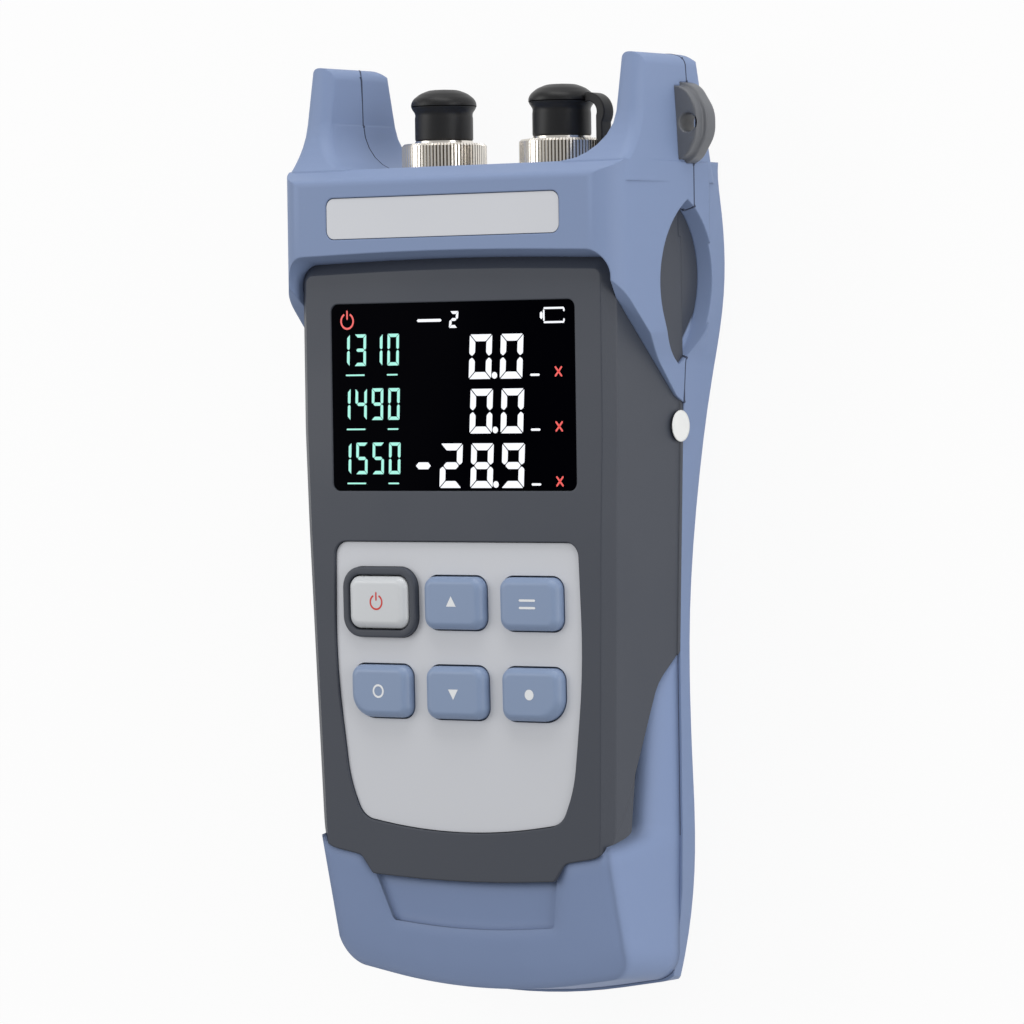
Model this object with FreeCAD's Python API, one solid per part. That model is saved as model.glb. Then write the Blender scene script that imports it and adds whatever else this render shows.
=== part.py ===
import FreeCAD, Part
import math
import os

# Handheld optical power meter lying on its back.
# X runs across the meter, Y from its foot to the optical ports, Z out of the screen.
# Millimetres. Z = 0 is the surface that it lies on, and X = 0 is its plane of symmetry.

V = FreeCAD.Vector

# ---- driving dimensions -------------------------------------------------------------

# overall form
length = 203.75              # foot to horn tips
origin_y = 1.125             # the origin lies this far above the middle
horn_rise = 23.0             # horn tips above the port end face
seam_z = 17.0                # split line along the sides
port_z = 22.6                # split line between the horns, on the port axes
seam_break_x = 43.4          # the split line leaves its side level inwards of this
port_break_x = 38.2          # and reaches its port level here
port_step_depth = 16.0       # the step runs this far in from the port end

# side outline, as half-widths at the split line
header_half = 46.0           # across the header
shoulder_half = 45.3         # beside the side windows' lower ends
waist_half = 43.3            # under the shoulder
neck_half = 42.4             # where the sides run into the grip
neck_y = 21.0
grip_half = 40.9             # middle of the grip
shell_narrowing = 1.2        # the grey shells are this much narrower at the grip's lower end
header_low_y = 60.0          # the header's sides begin to draw in here
grip_top_y = -27.0
grip_low_y = -66.0
shell_low_y = -64.0          # lower end of the shells' grip
header_bend = 120.0          # radii of the side's gentle bends, from the header down
neck_bend = 60.0
grip_top_bend = 200.0
grip_low_bend = 100.0
foot_half = 40.2             # corner of the foot
foot_corner = 6.5            # corner radius of the foot
foot_arc = 150.0             # radius of the foot's arc
foot_arc_reach = 25.0        # half-width that the arc covers

# front face
face_rise = 26.0             # front face above the split line
header_rise = 29.3           # header above the split line
face_chamfer = 2.4           # bevel round the front face
face_draft = 1.0             # draft of the grey side, seam to face
face_corner = 4.2            # corner radius at the face's top
face_top_y = 57.0            # top edge of the face, at its corners
face_bow = 1.2               # the edge rises by this at the middle
face_bow_radius = 900.0
keypad_tilt = 1.0            # the keypad end falls back by this many degrees
bend_radius = 240.0          # of the soft bend under the display
header_draft = 1.6           # draft of the header's sides
header_round = 7.0           # rounding of the header's front corners
lip_slope = 1.9              # the header's lower lip leans out by this
header_bevel = 5.3           # fall of the header's top bevel
header_bevel_run = 2.6       # and its run
foot_proud = 0.9             # foot rubber above the face beside it
foot_edge_z = 32.5           # top of the foot's end wall
foot_edge_round = 2.0
foot_slope_rise = 3.2        # the sloping front lies this far above that edge
foot_slope_start = 7.0       # at this distance in from the end
foot_slope_run = 30.0        # the slope dies into the face this far in
foot_draft = 3.6             # draft of the foot rubber's sides
tray_depth = 0.8             # recess of the foot's trapezoid
side_skin = 3.5              # rubber over the grey shell at the side windows
skin = 2.2                   # rubber elsewhere

# shells
front_wall = 2.2
rear_wall = 2.0

# horns
horn_inner_x = 37.3
horn_outer_x = 44.8
horn_front_rise = 20.4       # straight front of the horn above the split line
horn_front_tip = 17.0
horn_front_flare = 4.2       # the front sweeps up to the header's bevel by this
horn_back_drop = 10.0        # back of the horn's base under the split line
horn_back_tip = 5.5
horn_taper = 0.8             # narrowing of the tip on each side
horn_fillet = 10.5           # hollow between horn and end face
horn_round = 2.6

# side windows
window_y = 51.5
window_rise = 2.4
window_length = 34.0
window_height = 18.6
window_slope = 1.5           # the opening widens outwards by this

# display
lens_width = 64.6
lens_height = 40.8
lens_y = 28.0
lens_thick = 1.6
lens_corner = 1.8
lens_ledge = 1.5             # the lens rests on this rim
lcd_thick = 4.0

# plates
plate_width = 61.4
plate_height = 8.8
plate_y = 66.9
plate_thick = 0.8
plate_corner = 1.9
plate_clear = 0.15

# keypad, in a flat frame that is then tilted with the face
panel_top_y = -3.5
panel_bottom_y = -66.3
panel_top_half = 32.5
panel_low_half = 29.7
panel_low_y = -56.0
panel_thick = 1.0
panel_recess = 0.6
key_width = 15.6
key_height = 11.4
key_corner = 2.6
key_rise = 2.4               # keys above the panel
key_pitch_x = 20.0
key_pitch_y = 19.4
key_top_row_y = -16.6
key_clear = 0.35
key_travel = 1.0
key_flange = 1.2             # hidden rim that holds the key in
key_flange_thick = 1.2
rim_clear = 0.3              # rim to the underside of the face
key_edge = 1.1               # bevel of a key's top edge
bezel_width = 1.7
bezel_rise = 1.4
mat_thick = 1.6
mat_width = 52.0
mat_height = 36.0
mat_clear = 0.05             # a pressed key stops this far above the mat
board_thick = 1.6
post_radius = 1.8

# ports
port_pitch = 31.4
adapter_radius = 6.4
adapter_bore = 1.25          # radius of the ferrule bore
adapter_flange = 9.0
nut_radius = 9.35
nut_length = 6.2
nut_clear = 0.05
nut_ribs = 40
nut_rib_depth = 0.35
nose_radius = 3.3            # narrow end of the adapter, which the dust cap grips
nose_length = 4.0
cap_body_radius = 6.4
cap_head_radius = 7.3
cap_length = 11.4
tether_thick = 2.0
tether_width = 3.6
cap_clear = 0.03
cap_room = 2.0               # free depth over the nose
detector_radius = 5.0
detector_length = 16.0

# lanyard lugs
lug_y = 85.8
lug_rise = 2.0
lug_thick = 6.0
lug_half_length = 8.8
lug_reach = 51.2
lug_hole_x = 47.7
lug_hole_radius = 2.0
lug_root_x = 43.8            # the lugs are let into the horns up to here

# battery
cell_radius = 7.1
cell_length = 50.0
cell_count = 3
cell_pitch = 14.8
cell_foot_inset = 20.75      # from the foot
contact_thick = 0.5
contact_gap = 2.2
door_thick = 2.0
door_margin = 3.0
door_clear = 0.25
door_travel = 6.0

# fasteners
screw_radius = 1.5
screw_head_radius = 2.8
screw_head_thick = 2.0
screw_length = 24.0
screw_recess = 1.0
boss_radius = 4.2
top_screw_x = 33.0
top_screw_inset = 11.75      # from the port end face
foot_screw_x = 24.0
foot_screw_inset = 9.25      # from the foot

sticker_radius = 3.4
sticker_thick = 0.15
sticker_y = 21.0
sticker_clear = 0.1

# ---- worked-out places ---------------------------------------------------------------

top_y = length / 2 - origin_y
foot_y = -length / 2 - origin_y
end_y = top_y - horn_rise
face_z = seam_z + face_rise
header_z = seam_z + header_rise
shoulder_y = window_y - window_length / 2 + 7.0
waist_y = shoulder_y - 6.0
arc_angle = math.asin(foot_arc_reach / foot_arc)
foot_apex_y = foot_y - foot_arc * (1 / math.cos(arc_angle) - 1)
mount_z = face_z - face_chamfer      # level at the foot of the face's bevel


# ---- drawing helpers -----------------------------------------------------------------

def outline(corners, z=0.0):
    """Closed wire through (x, y, radius) corners, each rounded by its radius."""
    legs = []
    count = len(corners)
    for i in range(count):
        p = V(corners[i][0], corners[i][1], z)
        before = V(corners[i - 1][0], corners[i - 1][1], z)
        after = V(corners[(i + 1) % count][0], corners[(i + 1) % count][1], z)
        radius = corners[i][2]
        if radius <= 0:
            legs.append((p, None, p))
            continue
        u = (before - p).normalize()
        w = (after - p).normalize()
        half = u.getAngle(w) / 2
        reach = radius / math.tan(half)
        middle = (u + w).normalize() * (radius / math.sin(half) - radius)
        legs.append((p + u * reach, p + middle, p + w * reach))
    edges = []
    for i in range(count):
        start, middle, end = legs[i]
        if middle is not None:
            edges.append(Part.Arc(start, middle, end).toShape())
        following = legs[(i + 1) % count][0]
        if end.distanceToPoint(following) > 1e-5:
            edges.append(Part.LineSegment(end, following).toShape())
    return Part.Wire(edges)


def both_sides(right):
    """Closed outline from its right-hand corners, listed from the top down."""
    left = [(-x, y, r) for x, y, r in reversed(right) if x > 0]
    return right + left


def prism_z(corners, z0, z1):
    return Part.Face(outline(corners, z0)).extrude(V(0, 0, z1 - z0))


def prism_x(corners, x0, x1):
    """Prism along X over a (y, z, radius) outline."""
    solid = Part.Face(outline(corners)).extrude(V(0, 0, x1 - x0))
    solid.Placement = FreeCAD.Placement(FreeCAD.Matrix(0, 0, 1, x0, 1, 0, 0, 0, 0, 1, 0, 0))
    return solid


def prism_y(corners, y0, y1):
    """Prism along Y over an (x, z, radius) outline."""
    solid = Part.Face(outline(corners)).extrude(V(0, 0, y0 - y1))
    solid.Placement = FreeCAD.Placement(V(0, y0, 0), FreeCAD.Rotation(V(1, 0, 0), 90))
    return solid


def taper_z(low, z0, high, z1):
    return Part.makeLoft([outline(low, z0), outline(high, z1)], True, True)


def rod_y(radius, y0, y1, x, z):
    return Part.makeCylinder(radius, y1 - y0, V(x, y0, z), V(0, 1, 0))


def rod_z(radius, z0, z1, x, y):
    return Part.makeCylinder(radius, z1 - z0, V(x, y, z0))


def block(x0, x1, y0, y1, z0, z1):
    return Part.makeBox(x1 - x0, y1 - y0, z1 - z0, V(x0, y0, z0))


def pad(x, y, width, height, corner):
    """Corners of a rounded rectangle centred on (x, y)."""
    a = width / 2
    b = height / 2
    return [(x + a, y + b, corner), (x + a, y - b, corner), (x - a, y - b, corner), (x - a, y + b, corner)]


def mirrored(shape):
    return shape.mirror(V(0, 0, 0), V(1, 0, 0))


def on_keypad(shape):
    """Tilt a shape drawn on the flat front face into the keypad's own plane."""
    tilted = shape.copy()
    tilted.rotate(V(0, 0, face_z), V(1, 0, 0), keypad_tilt)
    return tilted


def whole(shape):
    """The one solid of a boolean result."""
    return max(shape.Solids, key=lambda solid: solid.Volume)


# ---- outer forms ---------------------------------------------------------------------

def foot_end(half, inset, corner):
    """The last two corners of a plan: the foot's corner and the middle of its arc."""
    apex = foot_apex_y + inset
    return [(half, apex + half * math.tan(arc_angle), corner), (0.0, apex, foot_arc)]


def side_outline(inset=0.0, flare=0.0):
    """Plan of the meter at the split line; inset draws it in, flare spares the header."""
    return both_sides([
        (header_half - inset - flare, end_y - inset, 1.0),
        (header_half - inset - flare, header_low_y, header_bend),
        (shoulder_half - inset - flare, shoulder_y, 8.0),
        (waist_half - inset, waist_y, 12.0),
        (neck_half - inset, neck_y, neck_bend),
        (grip_half - inset, grip_top_y, grip_top_bend),
        (grip_half - inset, grip_low_y, grip_low_bend),
        *foot_end(foot_half - inset, inset, foot_corner)])


def shell_outline(inset=0.0):
    """Plan of the grey shells at the split line."""
    core = header_half - side_skin
    return both_sides([
        (core - inset, end_y - skin - inset, 2.0),
        (core - inset, waist_y, neck_bend),
        (neck_half - inset, neck_y, neck_bend),
        (grip_half - inset, grip_top_y, grip_top_bend),
        (grip_half - shell_narrowing - inset, shell_low_y, grip_low_bend),
        *foot_end(foot_half - skin - inset, skin + inset, foot_corner - skin)])


def face_outline(inset=0.0):
    """Plan of the raised front face at the foot of its bevel."""
    top_half = neck_half - face_draft
    return both_sides([
        (0.0, face_top_y + face_bow - inset, face_bow_radius),
        (top_half - inset, face_top_y - inset, face_corner - inset),
        (top_half - inset, neck_y, neck_bend),
        (grip_half - face_draft - inset, grip_top_y, grip_top_bend),
        (grip_half - shell_narrowing - face_draft - inset, shell_low_y, grip_low_bend),
        *foot_end(foot_half - skin - face_draft - inset, skin + inset, foot_corner - skin)])


def face_profile(drop=0.0):
    """Side view under the front face: level at the display, falling back along the keypad."""
    low = length * 0.6
    fall = low * math.tan(math.radians(keypad_tilt))
    return prism_x([
        (low, face_z - drop, 0), (low, -length, 0), (-low, -length, 0),
        (-low, face_z - drop - fall, 0), (0, face_z - drop, bend_radius)], -60, 60)


def front_form():
    """Solid outer form of the grey front shell: raised bevelled face and header floor."""
    tall = face_z + 6
    rise = face_draft * 6 / (face_rise - face_chamfer)
    body = taper_z(face_outline(-face_draft), seam_z - 6, face_outline(rise), tall)
    body = body.common(face_profile())
    rim = []
    for edge in body.Edges:
        level = edge.BoundBox.ZMin
        crosswise = edge.BoundBox.XLength > 60 and -20 < edge.BoundBox.Center.y < 20
        if level > seam_z + 18 and edge.BoundBox.ZLength < 3.6 and not crosswise:
            rim.append(edge)
    body = body.makeChamfer(face_chamfer, rim)
    upper = prism_z(shell_outline(), seam_z - 6, mount_z)
    upper = upper.common(header_edge(skin + 1.0))
    lower = prism_z(shell_outline(), seam_z - 6, seam_z + 1)
    return body.fuse([upper, lower]).removeSplitter()


def rear_sections(inset, skirt):
    """Cross-sections of the back, wide at the port end and hull-shaped along the grip."""
    stations = [
        (end_y + 2, header_half, 12.5, 40.0, 13.5),
        (68.0, header_half, 13.0, 41.0, 16.0),
        (48.0, header_half, 13.5, 41.0, 17.0),
        (30.0, waist_half + 0.9, 10.5, 37.5, 17.0),
        (8.0, neck_half, 7.0, 34.0, 17.0),
        (-20.0, grip_half + 0.2, 4.5, 31.0, 17.0),
        (-50.0, grip_half + 0.6, 4.0, 30.0, 17.0),
        (-75.0, grip_half, 5.5, 30.0, 17.0),
        (-95.0, foot_half - 1.6, 4.0, 29.0, 15.5),
        (foot_y - 3, foot_half - 4.5, 3.5, 26.0, 13.0)]
    wires = []
    for y, half, side_drop, flat_half, drop in stations:
        core = skirt if y > 25 else 0.0
        a = half - inset - core
        b = half - 0.12 * side_drop - inset - core
        c = flat_half - inset
        low = (seam_z + 0.2) * drop / 17.0 - inset
        points = [(c, -low), (b, -side_drop + inset * 0.4), (a, 0.0), (a, 8.0)]
        ring = [V(x, y, seam_z + z) for x, z in points]
        ring += [V(-x, y, seam_z + z) for x, z in reversed(points)]
        wires.append(Part.makePolygon(ring + [ring[0]]))
    return wires


def rear_form(inset=0.0, skirt=0.0):
    return Part.makeLoft(rear_sections(inset, skirt), True, False)


def cross_section(corners, y):
    """Closed wire through (x, z, radius) corners, standing at the given y."""
    wire = outline(corners)
    wire.Placement = FreeCAD.Placement(V(0, y, 0), FreeCAD.Rotation(V(1, 0, 0), 90))
    return wire


def horn_section(along, hollow, flare):
    """Rounded section at a share of the horn's length, widened inwards and to the front."""
    t = horn_taper * along
    front = seam_z + horn_front_rise + (horn_front_tip - horn_front_rise) * along + flare
    rear = seam_z - horn_back_drop + (horn_back_drop - horn_back_tip) * along
    low, high = horn_inner_x + t - hollow, horn_outer_x - t
    belly = horn_outer_x + 0.8 * (1 - along) - 0.4 * along
    corners = [(low, rear, horn_round), (high, rear, horn_round), (belly, seam_z, 20.0),
               (high, front, horn_round), (low, front, horn_round)]
    return cross_section(corners, end_y + along * horn_rise)


def horn(sign):
    """One horn: a tapered block with rounded edges, hollow-rooted inside and in front."""
    inner = horn_inner_x - horn_fillet
    outer = horn_outer_x
    z = seam_z
    t = horn_taper
    sections = [horn_section(-0.2, horn_fillet, horn_front_flare)]
    for step in (0.0, 0.06, 0.16, 0.32, 0.52, 0.75, 1.0):
        hollow = horn_fillet * (1 - math.sqrt(1 - (1 - step) ** 2))
        flare = horn_front_flare * (1 - step) ** 2
        sections.append(horn_section(step * horn_fillet / horn_rise, hollow, flare))
    sections.append(horn_section(1.1, 0.0, 0.0))
    solid = Part.makeLoft(sections, True, True)
    crown = horn_inner_x + t
    plan = prism_z([(inner - 1, end_y - 6, 0), (inner - 1, end_y + horn_fillet, 0),
                    (crown - 0.3, end_y + horn_fillet, 0), (crown - 0.05, top_y, 2.9),
                    (outer - t, top_y, 2.9), (outer + 1.2, end_y - 6, 0)], -5, header_z + 5)
    side = prism_x([(end_y - 6, -5, 0), (end_y - 6, header_z + 5, 0), (top_y, header_z + 5, 0),
                    (top_y, z - 2.0, 4.0), (top_y - 5.5, z - horn_back_drop - 1, 3.0),
                    (top_y - 12, z - horn_back_drop - 6, 0), (top_y - 12, -5, 0)], 0, 70)
    solid = solid.common(plan).common(side)
    return solid if sign > 0 else mirrored(solid)


def side_window(sign):
    """Lens-shaped cutter through the side skin, widening outwards."""
    wires = []
    for x, grow in ((header_half - side_skin - 1.0, 0.0), (header_half + 2.0, window_slope)):
        a = window_length / 2 + grow
        b = window_height / 2 + grow
        z = seam_z + window_rise
        ends = (V(x, window_y + a, z), V(x, window_y - a, z))
        front = Part.Arc(ends[0], V(x, window_y, z + b), ends[1]).toShape()
        back = Part.Arc(ends[1], V(x, window_y, z - b), ends[0]).toShape()
        wires.append(Part.Wire([front, back]))
    solid = Part.makeLoft(wires, True, True)
    return solid if sign > 0 else mirrored(solid)


def below_parting():
    """Everything under the split surface, which steps up to the port axes at the port end."""
    far = 70.0
    step = prism_y([
        (far, seam_z - 1, 0), (far, seam_z, 0), (seam_break_x, seam_z, 0), (port_break_x, port_z, 0),
        (-port_break_x, port_z, 0), (-seam_break_x, seam_z, 0), (-far, seam_z, 0), (-far, seam_z - 1, 0)],
        end_y - port_step_depth, top_y + 20)
    return block(-far, far, foot_y - 20, top_y + 20, -20, seam_z).fuse(step).removeSplitter()


def header_edge(shift=0.0):
    """Side view of the header rubber: its lower edge runs down to a tip on the split line."""
    tip = window_y - window_length / 2 - 9.0 + shift
    rise = header_z + 5
    return prism_x([
        (end_y + 5, -10, 0), (end_y + 5, rise, 0), (face_top_y - 4 + shift, rise, 0),
        (face_top_y - 4 + shift, header_z - 1.0, 4), (tip + 2.0, seam_z + 3.0, 3),
        (tip, seam_z - 1.0, 0), (tip, -10, 0)], -60, 60)


def header_form():
    """Outer form of the header bumper down to the split line, before it is cut to its edge."""
    lean = 6.0 * header_draft / header_rise
    section = prism_y([
        (header_half + lean, seam_z - 6, 0), (header_half - header_draft, header_z, header_round),
        (header_draft - header_half, header_z, header_round), (-header_half - lean, seam_z - 6, 0)], -20, 100)
    profile = prism_x([
        (end_y, -5, 0), (end_y, header_z - header_bevel, 2.0),
        (end_y - header_bevel_run, header_z, 2.0), (-20, header_z, 0), (-20, -5, 0)], -60, 60)
    body = prism_z(side_outline(), seam_z - 6, header_z + 1).common(section).common(profile)
    body = body.common(header_edge())
    return body.fuse([horn(1), horn(-1)])


def foot_end_form(inset):
    """Turned about the foot arc's own axis, so that the end's rounding follows the arc."""
    rim = foot_arc - inset
    edge = foot_edge_z - inset
    knee = V(rim, 0, edge - foot_edge_round)
    over = V(rim - 0.29 * foot_edge_round, 0, edge - 0.25 * foot_edge_round)
    brow = V(rim - foot_edge_round, 0, edge + 0.5)
    points = [V(0, 0, -5), V(rim, 0, -5), knee]
    slope = [brow,
             V(rim - foot_slope_start, 0, edge + foot_slope_rise),
             V(rim - foot_slope_run, 0, edge + 9.5),
             V(rim - 60.0, 0, edge + 40.0),
             V(0, 0, edge + 40.0),
             points[0]]
    lines = [Part.LineSegment(points[0], points[1]),
             Part.LineSegment(points[1], knee),
             Part.Arc(knee, over, brow)]
    lines += [Part.LineSegment(slope[i], slope[i + 1]) for i in range(len(slope) - 1)]
    face = Part.Face(Part.Wire([line.toShape() for line in lines]))
    turned = face.revolve(V(0, 0, 0), V(0, 0, 1), 60)
    turned.rotate(V(0, 0, 0), V(0, 0, 1), -120)
    turned.translate(V(0, foot_y + foot_arc, 0))
    return turned


def foot_form(inset=0.0):
    """Outer form of the foot bumper with its notched upper edge and sloped sides."""
    fall = math.tan(math.radians(keypad_tilt))
    body = taper_z(side_outline(inset), seam_z - 6, side_outline(foot_draft + inset), face_z + 4)
    crest = face_z + foot_proud - inset
    low = foot_y - 5
    profile = prism_x([
        (low, -5, 0), (low, crest + low * fall, 0), (-20, crest - 20 * fall, 0), (-20, -5, 0)], -60, 60)
    return body.common(profile).common(foot_end_form(inset))


def foot_edge():
    """Everything below the foot bumper's upper edge: sloped sides and a notched front."""
    side = prism_x([
        (foot_y - 5, -10, 0), (-27.5, -10, 0), (-27.5, seam_z, 0), (-34.0, seam_z + 8.0, 12),
        (-66.0, seam_z + 21.0, 12), (-69.5, seam_z + 40, 0), (foot_y - 5, seam_z + 40, 0)], -60, 60)
    notch = prism_z([
        (60, -20, 0), (39.2, -20, 0), (38.6, -70.0, 6), (27.0, -72.0, 2.5),
        (24.0, -76.0, 1.0), (0, -77.4, 300), (-24.0, -76.0, 1.0), (-27.0, -72.0, 2.5),
        (-38.6, -70.0, 6), (-39.2, -20, 0), (-60, -20, 0), (-60, -130, 0), (60, -130, 0)], -10, 80)
    return side.common(notch)


# ---- shells --------------------------------------------------------------------------

def build_shells():
    low_side = below_parting()
    foot = foot_edge().cut(foot_form(skin))
    front = front_form().cut(foot)
    rear = rear_form(skin, side_skin - skin)
    rear = rear.common(prism_z(shell_outline(), -5, seam_z))
    front_upper = front.cut(low_side)
    rear_fill = front.common(low_side).common(block(-60, 60, -120, 120, seam_z, 60))
    rear_all = rear.fuse(rear_fill)
    inner_front = taper_z(face_outline(front_wall - face_draft), seam_z - 7,
                          face_outline(front_wall + 0.4), face_z + 4)
    inner_front = inner_front.common(face_profile(front_wall)).common(foot_form(skin + front_wall).fuse(
        block(-60, 60, -70, 120, -5, 80)))
    deep = prism_z(shell_outline(front_wall), seam_z - 7, mount_z - front_wall)
    deep = deep.common(block(-60, 60, 20, 120, 0, 60))
    inner_front = inner_front.fuse(deep)
    inner_rear = rear_form(skin + rear_wall, side_skin - skin)
    inner_rear = inner_rear.common(prism_z(shell_outline(front_wall), -5, seam_z + 8))
    hollow = inner_front.fuse(inner_rear)
    front_case = front_upper.cut(hollow)
    rear_case = rear_all.cut(hollow)
    return front, rear, front_case, rear_case, low_side, hollow



# ---- openings and fittings cut into the shells --------------------------------------

def lens_seat():
    """Pocket for the display lens and the window behind it."""
    pocket = prism_z(pad(0, lens_y, lens_width, lens_height, lens_corner), face_z - lens_thick, face_z + 1)
    sight = prism_z(pad(0, lens_y, lens_width - 2 * lens_ledge, lens_height - 2 * lens_ledge, lens_corner),
                    face_z - 9, face_z)
    return pocket.fuse(sight)


def panel_outline(grow=0.0):
    g = grow
    return both_sides([
        (panel_top_half - 0.4 + g, panel_top_y + g, 3.0 + g), (panel_top_half + 0.3 + g, -30.0, 150.0),
        (panel_low_half + g, panel_low_y, 30.0),
        (panel_low_half - 3.4 + g, panel_bottom_y + 2.6 - g, 5.0 + g),
        (0.0, panel_bottom_y - 1.6 - g, 130.0)])


def key_centres():
    """Name and centre of each key, left to right and top row first."""
    names = (("power_key", "up_key", "threshold_key"), ("reference_key", "down_key", "select_key"))
    places = []
    for row in (0, 1):
        for column in (0, 1, 2):
            x = (column - 1) * key_pitch_x
            y = key_top_row_y - row * key_pitch_y
            places.append((names[row][column], x, y))
    return places


def key_outline(name, x, y, grow=0.0):
    """Rounded key; the outer keys of the lower row have one large outer corner."""
    a = key_width / 2 + grow
    b = key_height / 2 + grow
    big = key_corner * 2.0 + grow
    r = key_corner + grow
    corners = [(x + a, y + b, r), (x + a, y - b, r), (x - a, y - b, r), (x - a, y + b, r)]
    if name == "select_key":
        corners[1] = (x + a, y - b, big)
    if name == "reference_key":
        corners[2] = (x - a, y - b, big)
    return corners


panel_z = face_z - panel_recess               # top of the keypad panel
panel_low = panel_z - panel_thick
keypad_y = key_top_row_y - key_pitch_y / 2    # middle of the keypad
mat_top = face_z - front_wall - rim_clear - key_flange_thick - key_travel - mat_clear
board_low = mat_top - mat_thick - board_thick


def keypad_cuts():
    """Panel recess, key holes and the pocket behind them, in the flat frame."""
    cuts = [prism_z(panel_outline(plate_clear), panel_low, face_z + 4)]
    for name, x, y in key_centres():
        grow = key_clear + (bezel_width if name == "power_key" else 0.0)
        cuts.append(prism_z(key_outline(name, x, y, grow), face_z - 12, face_z + 4))
    return cuts


def port_xs():
    return (-port_pitch / 2, port_pitch / 2)


def shell_cutters():
    cutters = [lens_seat()]
    cutters += [on_keypad(cut) for cut in keypad_cuts()]
    for x in port_xs():
        cutters.append(rod_y(adapter_radius + nut_clear, end_y - 12, end_y + 5, x, port_z))
    return cutters


# ---- rubber bumpers ------------------------------------------------------------------

def build_bumpers(grey, low_side):
    """Header, foot and rear rubber: their outer forms less everything that the shells fill."""
    face_room = taper_z(face_outline(0.0), mount_z, face_outline(-lip_slope), header_z + 1)
    windows = [side_window(1), side_window(-1)]
    ports = [rod_y(nut_radius + 1.0, end_y - skin, end_y + 30, x, port_z) for x in port_xs()]
    header = header_form()
    foot = foot_form().common(foot_edge())
    hull = rear_form().common(prism_z(side_outline(), 0, seam_z))
    upper = header.cut([grey, face_room, low_side] + windows + ports)
    room = pad(0, plate_y, plate_width + 2 * plate_clear, plate_height + 2 * plate_clear, plate_corner)
    plate = prism_z(room, header_z - plate_thick, header_z + 2)
    lugs = [lug(1), lug(-1)]
    upper = upper.cut([plate] + lugs)
    lower = foot.cut([grey, low_side])
    step = prism_z([(24.0, -60, 0), (24.0, -76.0, 0), (21.3, -86.4, 1.2), (0, -88.2, 180),
                    (-21.3, -86.4, 1.2), (-24.0, -76.0, 0), (-24.0, -60, 0)], 0, 80)
    lower = lower.cut(step.cut(foot_form(tray_depth)))
    back = hull.fuse(header).common(low_side).cut([grey] + windows + ports + lugs)
    return whole(upper), whole(lower), whole(back)


# ---- battery bay ---------------------------------------------------------------------

cell_foot_y = foot_y + cell_foot_inset
bay_x = (cell_count - 1) * cell_pitch / 2 + cell_radius
cell_z = door_thick + 0.4 + cell_radius
cell_top_y = cell_foot_y + cell_length
bay_low_y = cell_foot_y - contact_gap
bay_high_y = cell_top_y + contact_gap
door_half = bay_x + door_margin


def door_outline(clear):
    a = door_half + clear
    return [(a, bay_high_y + door_margin + clear, 2.0), (a, bay_low_y - door_margin - clear, 2.0),
            (-a, bay_low_y - door_margin - clear, 2.0), (-a, bay_high_y + door_margin + clear, 2.0)]


def battery_cuts():
    door = prism_z(door_outline(door_clear), -1, door_thick + 0.2)
    bay = block(-bay_x - 0.4, bay_x + 0.4, bay_low_y - 0.2, bay_high_y + 0.2, -1, cell_z + cell_radius + 0.4)
    return [door, bay]


def bay_walls(room):
    """Tray walls of the battery bay, moulded inside the rear shell."""
    w = rear_wall
    outer = block(-bay_x - w, bay_x + w, bay_low_y - w, bay_high_y + w, 1.0, cell_z + cell_radius + w)
    return outer.common(room)


# ---- fasteners' bosses ---------------------------------------------------------------

def screw_places():
    pairs = ((top_screw_x, end_y - top_screw_inset), (foot_screw_x, foot_y + foot_screw_inset))
    return [(s * x, y) for x, y in pairs for s in (1, -1)]


head_z = skin + screw_recess


def boss_low():
    return [rod_z(boss_radius, skin, seam_z, x, y) for x, y in screw_places()]


def boss_high():
    return [rod_z(boss_radius - 0.6, seam_z + 0.1, mount_z - 1.5, x, y) for x, y in screw_places()]


def screw_cuts_low():
    head_top = head_z + screw_head_thick
    cuts = [rod_z(screw_radius + 0.2, -1, seam_z + 1, x, y) for x, y in screw_places()]
    return cuts + [rod_z(screw_head_radius + 0.2, -1, head_top, x, y) for x, y in screw_places()]


def screw_cuts_high():
    tip = head_z + screw_head_thick + screw_length + 1.0
    return [rod_z(screw_radius, seam_z - 2, tip, x, y) for x, y in screw_places()]


# ---- everything else -----------------------------------------------------------------

def display_window():
    return prism_z(pad(0, lens_y, lens_width - 2 * plate_clear, lens_height - 2 * plate_clear, lens_corner),
                   face_z - lens_thick, face_z - 0.15)


def lcd_module():
    top = face_z - lens_thick - 0.3
    low = top - lcd_thick
    width, height = lens_width - 2 * lens_ledge - 0.6, lens_height - 2 * lens_ledge - 0.6
    glass = prism_z(pad(0, lens_y, width, height, 1.0), low, top)
    frame = prism_z(pad(0, lens_y, lens_width + 1.0, lens_height + 3.0, 1.0), low - 1.2, low)
    return glass.fuse(frame).removeSplitter()


lcd_low = face_z - lens_thick - 0.3 - lcd_thick - 1.2
board_top = lcd_low


def main_board():
    width = lens_width + 2 * (1.0 + 2 * post_radius) + 0.4
    plate = prism_z(pad(0, lens_y, width, lens_height + 2.0 + 3 * post_radius, 2.0),
                    board_top - board_thick, board_top)
    chips = [block(-18, -4, 12, 26, board_top - board_thick - 1.4, board_top - board_thick),
             block(6, 16, 20, 30, board_top - board_thick - 1.2, board_top - board_thick)]
    return plate.fuse(chips)


def header_plate():
    return prism_z(pad(0, plate_y, plate_width, plate_height, plate_corner),
                   header_z - plate_thick, header_z - 0.15)


def keypad_panel():
    panel = prism_z(panel_outline(0.0), panel_low, panel_z)
    for name, x, y in key_centres():
        grow = key_clear + (bezel_width if name == "power_key" else 0.0)
        panel = panel.cut(prism_z(key_outline(name, x, y, grow), panel_low - 1, panel_z + 1))
    return on_keypad(panel)


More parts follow.
